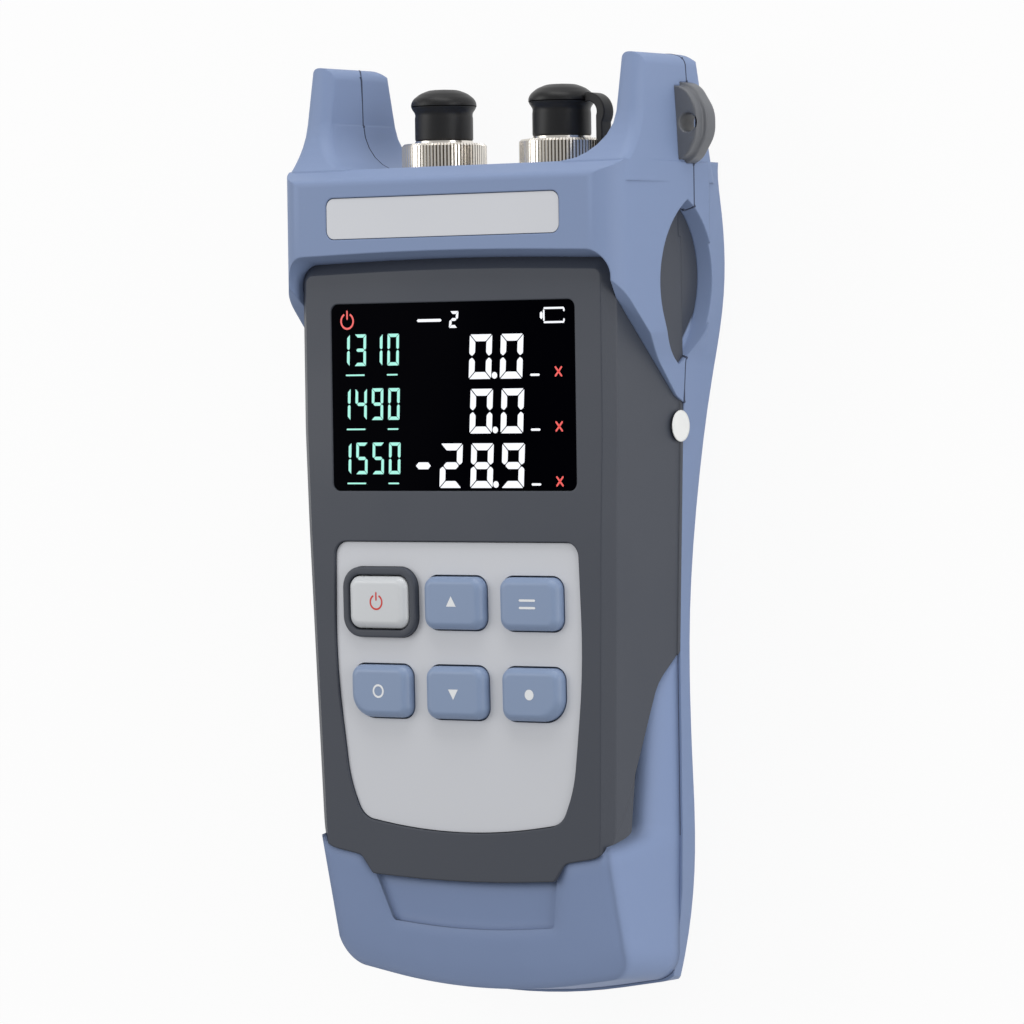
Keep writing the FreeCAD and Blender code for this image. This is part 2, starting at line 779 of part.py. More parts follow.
def power_key_bezel():
    name, x, y = key_centres()[0]
    ring = prism_z(key_outline(name, x, y, key_clear + bezel_width - 0.1), face_z - front_wall,
                   panel_z + bezel_rise)
    ring = ring.cut(prism_z(key_outline(name, x, y, key_clear - 0.05), panel_low - 4, panel_z + 4))
    return on_keypad(ring)


def key(name, x, y):
    """One key: a cap standing through the panel, kept in by a hidden rim under the face."""
    top = panel_z + key_rise
    rim_top = face_z - front_wall - rim_clear
    rim_low = rim_top - key_flange_thick
    cap = prism_z(key_outline(name, x, y), rim_low, top - key_edge)
    bevel = taper_z(key_outline(name, x, y), top - key_edge, key_outline(name, x, y, -key_edge), top)
    rim = prism_z(key_outline(name, x, y, key_flange), rim_low, rim_top)
    return on_keypad(cap.fuse([bevel, rim]).removeSplitter())


def keys():
    return {name: key(name, x, y) for name, x, y in key_centres()}


def keypad_mat():
    return on_keypad(prism_z(pad(0, keypad_y, mat_width, mat_height, 2.0), mat_top - mat_thick, mat_top))


def post_places(x, y, dy):
    return [(sx * x, y + sy * dy) for sx in (1, -1) for sy in (1, -1)]


def keypad_board():
    """Contact board under the mat, screwed up against four posts of the front shell."""
    width = 2 * (mat_width / 2 + 2.5 + post_radius)
    return on_keypad(prism_z(pad(0, keypad_y, width, mat_height + 4 * post_radius + 1.0, 2.0),
                             board_low, board_low + board_thick))


def keypad_posts():
    x = mat_width / 2 + 0.5 + post_radius
    y = mat_height / 2 + 0.5 + post_radius
    return [on_keypad(rod_z(post_radius, board_low + board_thick, face_z - front_wall + 0.3, px, py))
            for px, py in post_places(x, keypad_y, y - 0.5)]


def display_posts():
    x = lens_width / 2 + 1.0 + post_radius
    y = lens_height / 2 + 1.0
    return [rod_z(post_radius, board_top, face_z - front_wall + 0.3, px, py)
            for px, py in post_places(x, lens_y, y)]


def adapter(x):
    """Threaded port: a flanged barrel through the end wall with a ferrule bore."""
    inner_end = end_y - skin - front_wall
    barrel = rod_y(adapter_radius, inner_end - 4.0, end_y + nut_length, x, port_z)
    flange = rod_y(adapter_flange, inner_end - 2.0, inner_end - 0.02, x, port_z)
    barrel = barrel.fuse(flange)
    nose_end = end_y + nut_length + nose_length
    nose = rod_y(nose_radius, end_y, nose_end, x, port_z)
    sleeve = rod_y(adapter_bore, inner_end - 5, nose_end + 1, x, port_z)
    return barrel.fuse(nose).cut(sleeve)


def knurled_nut(x):
    """Ring with axial ribs that turns on the adapter."""
    y0 = end_y - skin + 0.6
    y1 = end_y + nut_length - 0.6
    points = []
    for i in range(2 * nut_ribs):
        radius = nut_radius if i % 2 == 0 else nut_radius - nut_rib_depth
        angle = math.pi * i / nut_ribs
        points.append((x + radius * math.cos(angle), port_z + radius * math.sin(angle), 0))
    ring = prism_y(points, y0, y1)
    return ring.cut(rod_y(adapter_radius + nut_clear, y0 - 1, y1 + 1, x, port_z))


def dust_cap(x):
    """Rubber cap: a turned body with a mushroom head, hollow where it grips the nose."""
    y0 = end_y + nut_length + 0.02
    roof = end_y + nut_length + nose_length + cap_room
    top = y0 + cap_length
    r = cap_body_radius
    h = cap_head_radius
    grip = nose_radius + cap_clear
    profile = [(grip, y0), (r, y0), (r, top - 6.4), (r - 0.15, top - 5.4), (h - 0.2, top - 4.2),
               (h, top - 3.4), (h - 0.5, top - 2.2), (h - 2.0, top - 1.0), (0.45 * h, top - 0.2),
               (0.0, top), (0.0, roof), (grip, roof)]
    points = [V(x + radius, y, port_z) for radius, y in profile]
    face = Part.Face(Part.makePolygon(points + points[:1]))
    return face.revolve(V(x, 0, port_z), V(0, 1, 0), 360)


def cap_tether():
    """Flat rubber strap from the right cap's head down to the end face."""
    x = port_pitch / 2
    y0 = end_y + nut_length
    a = V(x + cap_head_radius + 0.02, y0 + cap_length * 0.71, port_z)
    b = V(x + cap_head_radius + 3.6, y0 + 3.4, port_z)
    c = V(x + cap_head_radius + 3.6, end_y + 0.9, port_z)
    mid = V(x + cap_head_radius + 2.9, y0 + 7.4, port_z)
    path = Part.Wire([Part.Arc(a, mid, b).toShape(), Part.LineSegment(b, c).toShape()])
    t = tether_thick / 2
    w = tether_width / 2
    profile = Part.Wire(Part.makePolygon([a + V(0, -t, -w), a + V(0, t, -w), a + V(0, t, w),
                                          a + V(0, -t, w), a + V(0, -t, -w)]))
    return path.makePipeShell([profile], True, False)


def detector(x):
    """Photodetector can behind a port, on the ferrule axis."""
    y1 = end_y - skin - front_wall - 4.02
    can = rod_y(detector_radius, y1 - detector_length, y1, x, port_z)
    leads = [rod_y(0.4, y1 - detector_length - 4, y1 - detector_length, x + dx, port_z) for dx in (-2, 0, 2)]
    return can.fuse(leads)


def lug(sign):
    """Lanyard lug: two stepped half-discs against the horn, with a hole along Z."""
    z0 = seam_z + lug_rise - lug_thick / 2
    root = lug_root_x
    arm = horn_outer_x + 2.4
    solid = None
    for reach, low, high, tall in ((lug_reach, z0, z0 + lug_thick * 0.62, lug_half_length),
                                   (lug_reach - 1.0, z0, z0 + lug_thick, lug_half_length - 0.8)):
        plate = prism_z([(root, lug_y + tall, 0), (arm, lug_y + tall, 5.0), (reach, lug_y + 2.6, 7.0),
                         (reach, lug_y - 2.6, 7.0), (arm, lug_y - tall, 5.0), (root, lug_y - tall, 0)],
                        low, high)
        solid = plate if solid is None else solid.fuse(plate)
    solid = solid.cut(rod_z(lug_hole_radius, z0 - 1, z0 + lug_thick + 1, lug_hole_x, lug_y))
    return solid if sign > 0 else mirrored(solid)


def battery_cells():
    cells = []
    for i in range(cell_count):
        x = (i - (cell_count - 1) / 2) * cell_pitch
        cell = rod_y(cell_radius, cell_foot_y, cell_top_y - 1.2, x, cell_z)
        cells.append(cell.fuse(rod_y(2.6, cell_top_y - 1.2, cell_top_y, x, cell_z)))
    return Part.makeCompound(cells)


def battery_contacts():
    plates = []
    for y in (bay_low_y, bay_high_y - contact_thick):
        for i in range(cell_count):
            x = (i - (cell_count - 1) / 2) * cell_pitch
            plate = block(x - 5.5, x + 5.5, y, y + contact_thick, cell_z - 5, cell_z + 5)
            spring_low = y + contact_thick if y < cell_foot_y else cell_top_y + 0.02
            spring_high = cell_foot_y - 0.02 if y < cell_foot_y else y
            coil = Part.makeCone(3.4, 2.4, spring_high - spring_low, V(x, spring_low, cell_z), V(0, 1, 0))
            plates.append(plate.fuse(coil))
    return Part.makeCompound(plates)


def battery_door():
    plate = prism_z(door_outline(0.0), 0.2, door_thick)
    grips = []
    for i in range(5):
        y = bay_high_y - 2.0 - 2.2 * i
        grips.append(block(-7, 7, y - 0.5, y + 0.5, 0, 0.8))
    return plate.cut(grips)


def case_screws():
    screws = []
    for x, y in screw_places():
        z0 = head_z
        head = rod_z(screw_head_radius, z0, z0 + screw_head_thick - 0.02, x, y)
        shank = rod_z(screw_radius - 0.02, z0, z0 + screw_length, x, y)
        slot = block(x - 0.4, x + 0.4, y - 2, y + 2, z0 - 1, z0 + 0.8)
        cross = block(x - 2, x + 2, y - 0.4, y + 0.4, z0 - 1, z0 + 0.8)
        screws.append(head.fuse(shank).cut([slot, cross]))
    return Part.makeCompound(screws)


def side_sticker():
    """Paper disc on the flank, just clear of the widest point that it covers."""
    z = seam_z + 1.5
    plan = prism_z(side_outline(), z - 1, z + 1).fuse(prism_z(shell_outline(), z - 1, z + 1))
    reach = []
    for y in (sticker_y - sticker_radius, sticker_y, sticker_y + sticker_radius):
        ray = Part.makeLine(V(0, y, z), V(2 * header_half, y, z))
        reach.append(plan.common(ray).BoundBox.XMax)
    middle = V(max(reach) + sticker_clear, sticker_y, z)
    return Part.makeCylinder(sticker_radius, sticker_thick, middle, V(1, 0, 0))


# ---- assembly ------------------------------------------------------------------------

def build():
    front, rear, front_case, rear_case, low_side, hollow = build_shells()
    grey = front.cut(low_side).fuse([rear, front.common(low_side).common(block(-60, 60, 0, 120, seam_z, 60))])
    upper, lower, back = build_bumpers(grey, low_side)
    holes = shell_cutters()
    bay = battery_cuts()
    front_room = hollow.cut(low_side)
    rear_room = hollow.common(low_side)
    screws_high = [b.common(front_room) for b in boss_high()]
    screws_low = [b.common(rear_room) for b in boss_low()]
    posts = keypad_posts() + display_posts()
    front_case = front_case.fuse(screws_high + posts).cut(holes + screw_cuts_high())
    rear_case = rear_case.fuse(screws_low + [bay_walls(hollow)])
    rear_case = rear_case.cut(bay + screw_cuts_low() + holes)
    back = back.cut(bay + screw_cuts_low())
    nodes = {
        "front_case": whole(front_case),
        "rear_case": whole(rear_case),
        "front_top_bumper": upper,
        "front_bottom_bumper": lower,
        "rear_bumper": whole(back),
        "display_window": display_window(),
        "lcd_module": lcd_module(),
        "main_board": main_board(),
        "header_plate": header_plate(),
        "keypad_panel": keypad_panel(),
        "power_key_bezel": power_key_bezel(),
        "keypad_mat": keypad_mat(),
        "keypad_board": keypad_board(),
        "cap_tether": cap_tether(),
        "battery_cells": battery_cells(),
        "battery_contacts": battery_contacts(),
        "battery_door": battery_door(),
        "case_screws": case_screws(),
        "side_sticker": side_sticker()}
    nodes.update(keys())
    for side, sign, x in (("left", -1, -port_pitch / 2), ("right", 1, port_pitch / 2)):
        nodes[side + "_adapter"] = adapter(x)
        nodes[side + "_knurled_nut"] = knurled_nut(x)
        nodes[side + "_dust_cap"] = dust_cap(x)
        nodes[side + "_detector"] = detector(x)
        nodes[side + "_strap_lug"] = lug(sign)
    return nodes


os.makedirs("parts", exist_ok=True)
for node, shape in build().items():
    box = shape.BoundBox
    print("%-20s %s solids %d volume %.0f  x %.1f..%.1f y %.1f..%.1f z %.1f..%.1f" % (
        node, shape.isValid(), len(shape.Solids), shape.Volume,
        box.XMin, box.XMax, box.YMin, box.YMax, box.ZMin, box.ZMax))
    shape.exportStep("parts/%s.step" % node)
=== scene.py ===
import math
import bmesh
import bpy
from mathutils import Matrix, Vector
from mathutils.bvhtree import BVHTree


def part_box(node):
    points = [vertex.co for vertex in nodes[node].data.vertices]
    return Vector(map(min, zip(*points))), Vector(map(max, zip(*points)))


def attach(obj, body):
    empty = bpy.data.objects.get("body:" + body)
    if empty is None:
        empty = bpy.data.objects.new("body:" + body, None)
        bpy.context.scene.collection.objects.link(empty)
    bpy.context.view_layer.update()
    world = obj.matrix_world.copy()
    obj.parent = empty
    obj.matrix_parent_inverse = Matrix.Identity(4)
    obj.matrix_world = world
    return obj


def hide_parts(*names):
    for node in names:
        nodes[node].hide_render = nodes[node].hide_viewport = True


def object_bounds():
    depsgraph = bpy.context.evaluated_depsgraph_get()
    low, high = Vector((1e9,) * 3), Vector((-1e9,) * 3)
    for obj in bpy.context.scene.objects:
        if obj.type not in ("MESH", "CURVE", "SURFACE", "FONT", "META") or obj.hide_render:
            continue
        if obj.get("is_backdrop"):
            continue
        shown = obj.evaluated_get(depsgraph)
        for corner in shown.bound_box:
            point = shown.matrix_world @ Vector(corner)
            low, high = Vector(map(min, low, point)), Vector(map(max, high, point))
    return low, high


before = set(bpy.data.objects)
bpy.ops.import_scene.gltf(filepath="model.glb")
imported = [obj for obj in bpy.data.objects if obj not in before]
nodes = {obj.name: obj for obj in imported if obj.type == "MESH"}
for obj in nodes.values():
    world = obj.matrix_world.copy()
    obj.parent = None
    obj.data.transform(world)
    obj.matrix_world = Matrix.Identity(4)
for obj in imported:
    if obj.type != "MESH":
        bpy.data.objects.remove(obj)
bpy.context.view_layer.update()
scene = bpy.context.scene
mm = 0.001

# ---- Camera ---------------------------------------------------------------------------
# The meter lies on its back, and a long lens looks down on its screen from the right-hand
# side, far enough off that the two long edges stay almost parallel.

yaw, pitch, roll = math.radians(35.0), math.radians(1.385), math.radians(0.8)
back = Vector((math.sin(yaw) * math.cos(pitch), math.sin(pitch), math.cos(yaw) * math.cos(pitch)))
level = Vector((math.cos(yaw), 0.0, -math.sin(yaw)))
upright = back.cross(level)
across = level * math.cos(roll) - upright * math.sin(roll)
upward = level * math.sin(roll) + upright * math.cos(roll)
distance, slide_across, slide_down = 1185.3, 12.84, 17.67
aim = Vector((0.0, 20.75, 43.0)) + across * slide_across - upward * slide_down
lens = bpy.data.cameras.new("studio_camera")
lens.sensor_width = 36.0
lens.lens = 193.36
lens.clip_start = 0.05
lens.clip_end = 20.0
camera = bpy.data.objects.new("studio_camera", lens)
turn = Matrix((across, upward, back)).transposed().to_4x4()
camera.matrix_world = Matrix.Translation((aim + back * distance) * mm) @ turn
scene.collection.objects.link(camera)
scene.camera = camera

# ---- Floor and studio light -----------------------------------------------------------
# A plain pale floor under an even sky and three large soft lamps. It shows as near white
# to the eye and in gloss, and keeps the meter's own soft shadow.

scene.view_settings.view_transform = "Standard"


def material(name):
    """A new node material: its tree, its shader and its output."""
    finish = bpy.data.materials.new(name)
    finish.use_nodes = True
    tree = finish.node_tree
    return finish, tree, tree.nodes["Principled BSDF"], tree.nodes["Material Output"]


floor_mesh = bpy.data.meshes.new("studio_floor")
sweep = bmesh.new()
bmesh.ops.create_grid(sweep, x_segments=1, y_segments=1, size=3.0)
sweep.to_mesh(floor_mesh)
sweep.free()
floor = bpy.data.objects.new("studio_floor", floor_mesh)
scene.collection.objects.link(floor)
floor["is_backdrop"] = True
floor_finish, tree, shader, output = material("pale_floor")
shader.inputs["Base Color"].default_value = (0.80, 0.80, 0.80, 1.0)
shader.inputs["Roughness"].default_value = 0.9
white = tree.nodes.new("ShaderNodeEmission")
white.inputs["Color"].default_value = (1.0, 1.0, 1.0, 1.0)
white.inputs["Strength"].default_value = 1.0
rays = tree.nodes.new("ShaderNodeLightPath")
seen = tree.nodes.new("ShaderNodeMath")
seen.operation = "MAXIMUM"
tree.links.new(rays.outputs["Is Camera Ray"], seen.inputs[0])
tree.links.new(rays.outputs["Is Glossy Ray"], seen.inputs[1])
share = tree.nodes.new("ShaderNodeMath")
share.operation = "MULTIPLY"
share.inputs[1].default_value = 0.93
tree.links.new(seen.outputs[0], share.inputs[0])
mix = tree.nodes.new("ShaderNodeMixShader")
tree.links.new(share.outputs[0], mix.inputs["Fac"])
tree.links.new(shader.outputs[0], mix.inputs[1])
tree.links.new(white.outputs[0], mix.inputs[2])
tree.links.new(mix.outputs[0], output.inputs["Surface"])
floor_mesh.materials.append(floor_finish)

world = bpy.data.worlds.new("studio")
world.use_nodes = True
world.node_tree.nodes["Background"].inputs["Color"].default_value = (1.0, 1.0, 1.0, 1.0)
world.node_tree.nodes["Background"].inputs["Strength"].default_value = 0.47
scene.world = world


def softbox(name, place, target, size, power):
    """A large rectangular lamp at a place, aimed at a target; metres and watts."""
    lamp = bpy.data.lights.new(name, "AREA")
    lamp.shape = "RECTANGLE"
    lamp.size, lamp.size_y = size
    lamp.energy = power
    lamp.color = (1.0, 0.995, 0.985)
    holder = bpy.data.objects.new(name, lamp)
    holder.location = place
    holder.rotation_mode = "QUATERNION"
    holder.rotation_quaternion = (Vector(target) - Vector(place)).to_track_quat("-Z", "Y")
    scene.collection.objects.link(holder)


softbox("right_softbox", (0.95, 0.10, 0.30), (0.0, 0.0, 0.02), (0.9, 0.5), 4.0)
softbox("left_softbox", (-0.70, 0.25, 0.70), (0.0, 0.0, 0.03), (0.7, 0.5), 3.0)
softbox("far_softbox", (0.10, 0.90, 0.32), (0.0, 0.05, 0.03), (0.9, 0.35), 4.0)

# ---- Rear rubber overmould ------------------------------------------------------------
# Slate-blue thermoplastic rubber moulded over the grey rear shell, with the back halves
# of both horns. Its edges are shaded a little round, and its skin is finely textured.


def moulded_copy(node, body, edge=0.0, segments=2, sharp=28.0):
    """A joined-up copy of a CAD node, with rounded edges if asked, standing for it on its body."""
    form = bmesh.new()
    form.from_mesh(nodes[node].data)
    bmesh.ops.remove_doubles(form, verts=form.verts, dist=0.002 * mm)
    if edge > 0:
        bmesh.ops.remove_doubles(form, verts=form.verts, dist=0.08 * mm)
        true_skin = BVHTree.FromBMesh(form)
        corners = [e for e in form.edges
                   if len(e.link_faces) == 2 and e.calc_face_angle(0.0) > math.radians(sharp)]
        bmesh.ops.bevel(form, geom=corners, offset=edge * mm, offset_type="OFFSET", segments=segments,
                        profile=0.5, affect="EDGES", clamp_overlap=False, material=-1,
                        miter_outer="ARC", miter_inner="SHARP")
        for corner in form.verts:
            spot, normal, index, gap = true_skin.find_nearest(corner.co)
            if gap > 0.45 * edge * mm:
                corner.co = spot
    for face in form.faces:
        face.smooth = True
    for e in form.edges:
        e.smooth = len(e.link_faces) != 2 or e.calc_face_angle(0.0) < math.radians(26.0)
    mesh = bpy.data.meshes.new(node + "_skin")
    form.to_mesh(mesh)
    form.free()
    piece = bpy.data.objects.new(node + "_skin", mesh)
    scene.collection.objects.link(piece)
    even = piece.modifiers.new("even_shading", "WEIGHTED_NORMAL")
    even.keep_sharp = True
    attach(piece, body)
    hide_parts(node)
    return piece


def moulded_texture():
    """Shader group: slow colour drift and the fine grain that a spark-eroded tool leaves."""
    group = bpy.data.node_groups.new("moulded_texture", "ShaderNodeTree")
    face = group.interface
    face.new_socket("Color", in_out="INPUT", socket_type="NodeSocketColor")
    face.new_socket("Drift", in_out="INPUT", socket_type="NodeSocketFloat")
    face.new_socket("Grain Scale", in_out="INPUT", socket_type="NodeSocketFloat")
    face.new_socket("Roughness", in_out="INPUT", socket_type="NodeSocketFloat")
    face.new_socket("Color", in_out="OUTPUT", socket_type="NodeSocketColor")
    face.new_socket("Roughness", in_out="OUTPUT", socket_type="NodeSocketFloat")
    face.new_socket("Height", in_out="OUTPUT", socket_type="NodeSocketFloat")
    given = group.nodes.new("NodeGroupInput")
    made = group.nodes.new("NodeGroupOutput")
    place = group.nodes.new("ShaderNodeTexCoord")
    slow = group.nodes.new("ShaderNodeTexNoise")
    slow.inputs["Scale"].default_value = 22.0
    slow.inputs["Detail"].default_value = 3.0
    grain = group.nodes.new("ShaderNodeTexNoise")
    grain.inputs["Detail"].default_value = 2.0
    grain.inputs["Roughness"].default_value = 0.6
    centred = group.nodes.new("ShaderNodeMath")
    centred.operation = "SUBTRACT"
    centred.inputs[1].default_value = 0.5
    scaled = group.nodes.new("ShaderNodeMath")
    scaled.operation = "MULTIPLY"
    lift = group.nodes.new("ShaderNodeMath")
    lift.operation = "ADD"
    lift.inputs[1].default_value = 1.0
    tint = group.nodes.new("ShaderNodeVectorMath")
    tint.operation = "SCALE"
    uneven = group.nodes.new("ShaderNodeMath")
    uneven.operation = "MULTIPLY_ADD"
    uneven.inputs[1].default_value = 0.35
    link = group.links.new
    link(place.outputs["Object"], slow.inputs["Vector"])
    link(place.outputs["Object"], grain.inputs["Vector"])
    link(given.outputs["Grain Scale"], grain.inputs["Scale"])
    link(slow.outputs["Fac"], centred.inputs[0])
    link(centred.outputs[0], scaled.inputs[0])
    link(given.outputs["Drift"], scaled.inputs[1])
    link(scaled.outputs[0], lift.inputs[0])
    link(given.outputs["Color"], tint.inputs["Vector"])
    link(lift.outputs[0], tint.inputs["Scale"])
    link(centred.outputs[0], uneven.inputs[0])
    link(given.outputs["Roughness"], uneven.inputs[2])
    link(tint.outputs["Vector"], made.inputs["Color"])
    link(uneven.outputs[0], made.inputs["Roughness"])
    link(grain.outputs["Fac"], made.inputs["Height"])
    return group


texture_group = moulded_texture()


def moulded(name, color, drift, grain_scale, roughness, bump, distance=0.00004, rounding=0.5):
    """A material for a moulded part, with its own colour, grain and soft edges in mm."""
    finish, tree, shader, output = material(name)
    skin = tree.nodes.new("ShaderNodeGroup")
    skin.node_tree = texture_group
    skin.inputs["Color"].default_value = (*color, 1.0)
    skin.inputs["Drift"].default_value = drift
    skin.inputs["Grain Scale"].default_value = grain_scale
    skin.inputs["Roughness"].default_value = roughness
    rounded = tree.nodes.new("ShaderNodeBevel")
    rounded.samples = 8
    rounded.inputs["Radius"].default_value = rounding * mm
    relief = tree.nodes.new("ShaderNodeBump")
    relief.inputs["Strength"].default_value = bump
    relief.inputs["Distance"].default_value = distance
    tree.links.new(skin.outputs["Color"], shader.inputs["Base Color"])
    tree.links.new(skin.outputs["Roughness"], shader.inputs["Roughness"])
    tree.links.new(skin.outputs["Height"], relief.inputs["Height"])
    tree.links.new(rounded.outputs["Normal"], relief.inputs["Normal"])
    tree.links.new(relief.outputs["Normal"], shader.inputs["Normal"])
    return finish, shader


rubber_gloss = 0.42
blue_rubber, shader = moulded("slate_blue_rubber", (0.206, 0.275, 0.447), 0.10, 2600.0, 0.56, 0.35)
shader.inputs["Specular IOR Level"].default_value = rubber_gloss
rear_rubber = moulded_copy("rear_bumper", "housing")
rear_rubber.data.materials.append(blue_rubber)

# ---- Grey shells ----------------------------------------------------------------------
# Two dark-grey ABS mouldings, parted along the sides. The front one has the bevelled
# face with the screen and keypad; the rear one shows in the lens-shaped side openings.

grey_plastic, shader = moulded("dark_grey_plastic", (0.048, 0.055, 0.073), 0.08, 3400.0, 0.50, 0.45)
shader.inputs["Specular IOR Level"].default_value = 0.45
for node in ("front_case", "rear_case"):
    shell = moulded_copy(node, "housing")
    shell.data.materials.append(grey_plastic)

# ---- Header and foot rubber -----------------------------------------------------------
# The same blue rubber on the front: the header with the front halves of the horns, and
# the guard round the lower end with its shallow step, whose corners are shaded rounder.
# The guard's base colour is a little lighter than the header's: painted light.

# A lighter copy of the blue rubber: painted light on the lower guard.
lightened_foot_rubber, shader = moulded("soft_cornered_lightened_rubber", (0.222, 0.297, 0.490), 0.10, 2600.0, 0.56, 0.35,
                              rounding=4.4)
shader.inputs["Specular IOR Level"].default_value = rubber_gloss
for node, finish in (("front_top_bumper", blue_rubber), ("front_bottom_bumper", lightened_foot_rubber)):
    guard = moulded_copy(node, "housing")
    guard.data.materials.append(finish)

# ---- Seams ----------------------------------------------------------------------------
# The fine shadow line where the front rubber meets the rear rubber, over both horns and
# along the sides. Dark slivers lie just under the skin along the split's outer edges.

seam_dark, shader = moulded("seam_shadow", (0.045, 0.060, 0.105), 0.05, 2600.0, 0.8, 0.1, rounding=0.05)
seam_radius, seam_sunk, seam_touch = 0.30 * mm, 0.22 * mm, 0.06 * mm


def seam_line(node, partner):
    """Dark rods, sunk along the edges of a node's split face that meet its partner."""
    form, facing, rods = bmesh.new(), bmesh.new(), bmesh.new()
    form.from_mesh(nodes[node].data)
    facing.from_mesh(nodes[partner].data)
    bmesh.ops.remove_doubles(form, verts=form.verts, dist=0.002 * mm)
    partner_skin = BVHTree.FromBMesh(facing)
    for e in form.edges:
        if len(e.link_faces) != 2 or e.calc_face_angle(0.0) < math.radians(40.0):
            continue
        start, end = e.verts[0].co, e.verts[1].co
        if max(partner_skin.find_nearest(spot)[3] for spot in (start, end)) > seam_touch:
            continue
        outer = max(e.link_faces, key=lambda f: partner_skin.find_nearest(f.calc_center_median())[3])
        rod = bmesh.ops.create_cone(rods, cap_ends=True, segments=8, radius1=seam_radius,
                                    radius2=seam_radius, depth=(end - start).length + seam_radius)["verts"]
        middle = (start + end) / 2 - outer.normal * seam_sunk
        along = (end - start).to_track_quat("Z", "Y").to_matrix().to_4x4()
        bmesh.ops.transform(rods, matrix=Matrix.Translation(middle) @ along, verts=rod)
    mesh = bpy.data.meshes.new(node + "_seam")
    rods.to_mesh(mesh)
    for spare in (form, facing, rods):
        spare.free()
    piece = bpy.data.objects.new(node + "_seam", mesh)
    mesh.materials.append(seam_dark)
    scene.collection.objects.link(piece)
    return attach(piece, "housing")


for node in ("front_top_bumper", "front_bottom_bumper"):
    seam_line(node, "rear_bumper")

# ---- Display --------------------------------------------------------------------------
# A gloss acrylic window over a colour segment display. The lit figures are thin sheets on
# the window's top face, where the eye reads them. They show numbers and plain symbols.

window_glass, tree, shader, output = material("black_display_window")
shader.inputs["Base Color"].default_value = (0.0005, 0.0005, 0.0015, 1.0)
shader.inputs["Specular IOR Level"].default_value = 0.004
place = tree.nodes.new("ShaderNodeTexCoord")
haze = tree.nodes.new("ShaderNodeTexNoise")
haze.inputs["Scale"].default_value = 60.0
haze.inputs["Detail"].default_value = 4.0
spread = tree.nodes.new("ShaderNodeMapRange")
spread.inputs["To Min"].default_value = 0.05
spread.inputs["To Max"].default_value = 0.12
tree.links.new(place.outputs["Object"], haze.inputs["Vector"])
tree.links.new(haze.outputs["Fac"], spread.inputs["Value"])
tree.links.new(spread.outputs["Result"], shader.inputs["Roughness"])
window = moulded_copy("display_window", "housing")
window.data.materials.append(window_glass)

window_low, window_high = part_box("display_window")
figure_lift = 0.03
screen_z = window_high.z + figure_lift * mm


def lit(name, color, strength):
    """A lit segment colour: even light, with a dim plain shade of its own when it is off."""
    finish, tree, shader, output = material(name)
    shader.inputs["Base Color"].default_value = (0.02, 0.02, 0.02, 1.0)
    shader.inputs["Roughness"].default_value = 0.3
    shader.inputs["Emission Color"].default_value = (*color, 1.0)
    shader.inputs["Emission Strength"].default_value = strength
    return finish


def bar(form, x, y, length, width, angle=0.0):
    """A flat six-sided segment with pointed ends, lying along its angle."""
    made = bmesh.ops.create_circle(form, cap_ends=True, segments=6, radius=1.0)
    for corner in made["verts"]:
        side = 0.0 if abs(corner.co.x) < 0.1 else math.copysign(width / 2, corner.co.x)
        corner.co = (math.copysign(length / 2 - abs(side), corner.co.y), side, 0.0)
    turned = Matrix.Translation((x, y, 0.0)) @ Matrix.Rotation(angle, 4, "Z")
    bmesh.ops.transform(form, matrix=turned, verts=made["verts"])
    return made["verts"]


segments_of = {"0": "abcdef", "1": "bc", "2": "abged", "3": "abgcd", "4": "fgbc", "5": "afgcd",
               "8": "abcdefg", "9": "abcfgd"}


def digit(form, figure, x, y, width, height, stroke, slant):
    """One seven-segment figure with mitred strokes and its lower left corner at (x, y)."""
    w, h, t = width, height, stroke
    m, c, g = h / 2, t / 2, 0.10 * t
    upright_stroke = [(0, h - g), (t, h - t - g), (t, m + c + g), (c, m + g), (0, m + c * 0.7 + g)]
    shapes = {"a": [(g, h), (w - g, h), (w - t - g, h - t), (t + g, h - t)],
              "d": [(t + g, t), (w - t - g, t), (w - g, 0), (g, 0)],
              "g": [(c + g, m), (t + g, m + c), (w - t - g, m + c),
                    (w - c - g, m), (w - t - g, m - c), (t + g, m - c)],
              "f": upright_stroke,
              "b": [(w - px, py) for px, py in upright_stroke],
              "e": [(px, h - py) for px, py in upright_stroke],
              "c": [(w - px, h - py) for px, py in upright_stroke]}
    for letter in segments_of[figure]:
        corners = [form.verts.new((x + px + py * slant, y + py, 0.0)) for px, py in shapes[letter]]
        form.faces.new(corners)
        bmesh.ops.bevel(form, geom=corners, offset=0.14 * t, offset_type="OFFSET", segments=2, profile=0.5,
                        affect="VERTICES", clamp_overlap=True, material=-1)


def screen_marks(name, form, finish, z):
    """Finish a flat drawing in millimetres as a thin piece at height z."""
    bmesh.ops.scale(form, vec=(mm, mm, mm), verts=form.verts)
    bmesh.ops.translate(form, vec=(0.0, 0.0, z), verts=form.verts)
    form.normal_update()
    bmesh.ops.reverse_faces(form, faces=[f for f in form.faces if f.normal.z < 0])
    mesh = bpy.data.meshes.new(name)
    form.to_mesh(mesh)
    form.free()
    piece = bpy.data.objects.new(name, mesh)
    mesh.materials.append(finish)
    scene.collection.objects.link(piece)
    return piece


